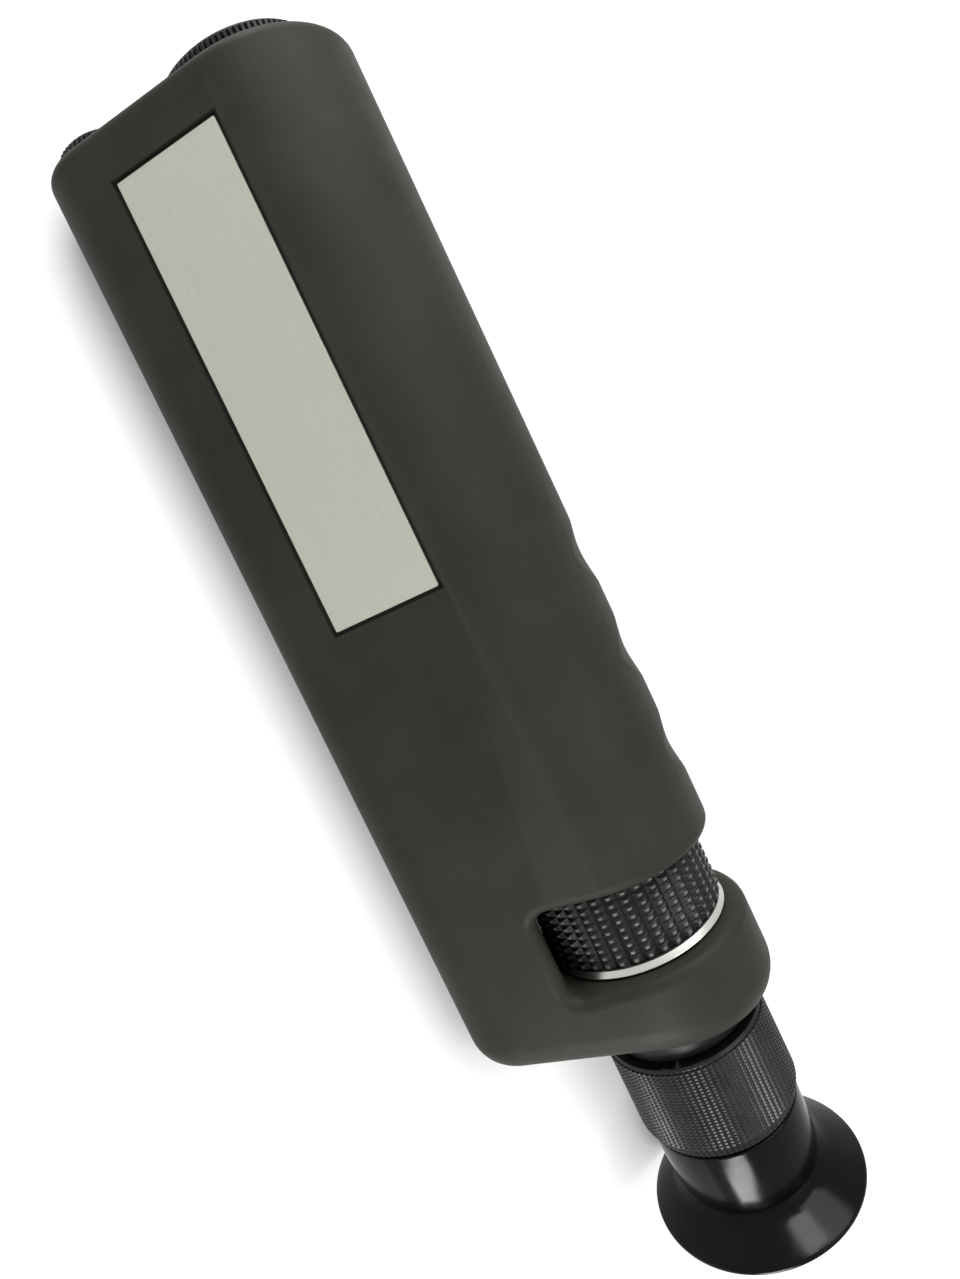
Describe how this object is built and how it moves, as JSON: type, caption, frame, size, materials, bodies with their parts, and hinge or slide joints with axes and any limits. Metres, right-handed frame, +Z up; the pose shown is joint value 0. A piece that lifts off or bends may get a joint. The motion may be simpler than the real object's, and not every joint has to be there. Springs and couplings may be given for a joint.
{
  "type": "fibre inspection microscope",
  "caption": "Hand-held fibre end-face microscope: rubber-covered two-lobed body, plate recess, finger scallops, windowed focus ring, knurled eyepiece and flared eyecup.",
  "frame": {"origin": "centre of the bounding box, on the surface that the object lies on", "axes": "+X along the optical axis towards the eyepiece, +Z up from the lower flat, -Y towards the battery lobe"},
  "size_m": [0.1974, 0.0484, 0.0352],
  "materials": {
    "rubber_cover": "matte soft-touch",
    "brushed_plate": "fine satin",
    "shell_plastic": "moulded",
    "screw_steel": "plain",
    "black_aluminium": "black anodised",
    "adapter_metal": "turned",
    "board_laminate": "laminate",
    "lamp_lens": "clear",
    "optical_glass": "coated",
    "knurled_black": "black anodised, knurled",
    "bright_trim": "bright turned",
    "gloss_black": "polished",
    "cell_jacket": "printed jacket",
    "contact_brass": "plated",
    "seal_rubber": "plain",
    "button_rubber": "matte"
  },
  "bodies": {
    "body": {"grip_cover": "rubber_cover", "name_plate": "brushed_plate", "housing_upper": "shell_plastic", "housing_lower": "shell_plastic", "housing_screws": "screw_steel", "optical_tube": "black_aluminium", "adapter_socket": "black_aluminium", "lamp_board": "board_laminate", "lamps": "lamp_lens", "eyepiece_barrel": "black_aluminium", "field_lens": "optical_glass", "field_lens_ring": "black_aluminium", "sleeve_snap_ring": "screw_steel", "cells": "cell_jacket", "inner_contact": "contact_brass", "power_switch": "shell_plastic", "switch_board": "board_laminate"},
    "focus_ring": {"focus_ring": "knurled_black", "focus_trim_ring": "bright_trim"},
    "focus_carrier": {"focus_carrier": "black_aluminium", "guide_pin": "screw_steel", "objective_barrel": "black_aluminium", "front_lens": "optical_glass", "rear_lens": "optical_glass", "rear_lens_ring": "black_aluminium"},
    "eyepiece_sleeve": {"eyepiece_sleeve": "knurled_black"},
    "eyecup": {"eyecup": "gloss_black", "eye_lens": "optical_glass", "eye_lens_ring": "black_aluminium"},
    "ferrule_adapter": {"ferrule_adapter": "adapter_metal"},
    "adapter_nut": {"adapter_nut": "black_aluminium"},
    "cap_contact": {"cap_contact": "contact_brass", "cap_spring": "screw_steel"},
    "battery_cap": {"battery_cap": "black_aluminium", "cap_seal": "seal_rubber"},
    "power_button": {"power_button": "button_rubber"}
  },
  "joints": [
    {"name": "focus_turn", "type": "hinge", "parent": "body", "child": "focus_ring", "pos_m": [0.04285, 0.0066, 0.0176], "axis": [1, 0, 0], "range_deg": [-120, 120]},
    {"name": "focus_slide", "type": "slide", "parent": "body", "child": "focus_carrier", "axis": [1, 0, 0], "range_m": [-0.0015, 0.0015]},
    {"name": "dioptre_turn", "type": "hinge", "parent": "body", "child": "eyepiece_sleeve", "pos_m": [0.07485, 0.0066, 0.0176], "axis": [1, 0, 0], "range_deg": [0, 270]},
    {"name": "dioptre_slide", "type": "slide", "parent": "eyepiece_sleeve", "child": "eyecup", "axis": [1, 0, 0], "range_m": [0, 0.00225]},
    {"name": "adapter_slide", "type": "slide", "parent": "body", "child": "ferrule_adapter", "axis": [-1, 0, 0], "range_m": [0, 0.004]},
    {"name": "nut_turn", "type": "hinge", "parent": "ferrule_adapter", "child": "adapter_nut", "pos_m": [-0.09315, 0.0066, 0.0176], "axis": [-1, 0, 0], "range_deg": [0, 1440]},
    {"name": "cap_slide", "type": "slide", "parent": "body", "child": "cap_contact", "axis": [-1, 0, 0], "range_m": [0, 0.004]},
    {"name": "cap_turn", "type": "hinge", "parent": "cap_contact", "child": "battery_cap", "pos_m": [-0.09315, -0.0154, 0.0088], "axis": [-1, 0, 0], "range_deg": [0, 960]},
    {"name": "button_press", "type": "slide", "parent": "body", "child": "power_button", "axis": [0, 0, 1], "range_m": [0, 0.0008], "stiffness_N_per_m": 600, "springref_m": -0.0008}
  ],
  "couplings": [
    {"joint": "focus_turn", "follows": "focus_slide", "rad_per_m": -1396.3},
    {"joint": "dioptre_turn", "follows": "dioptre_slide", "rad_per_m": 2094.4},
    {"joint": "nut_turn", "follows": "adapter_slide", "rad_per_m": 6283.2},
    {"joint": "cap_turn", "follows": "cap_slide", "rad_per_m": 4188.8}
  ]
}
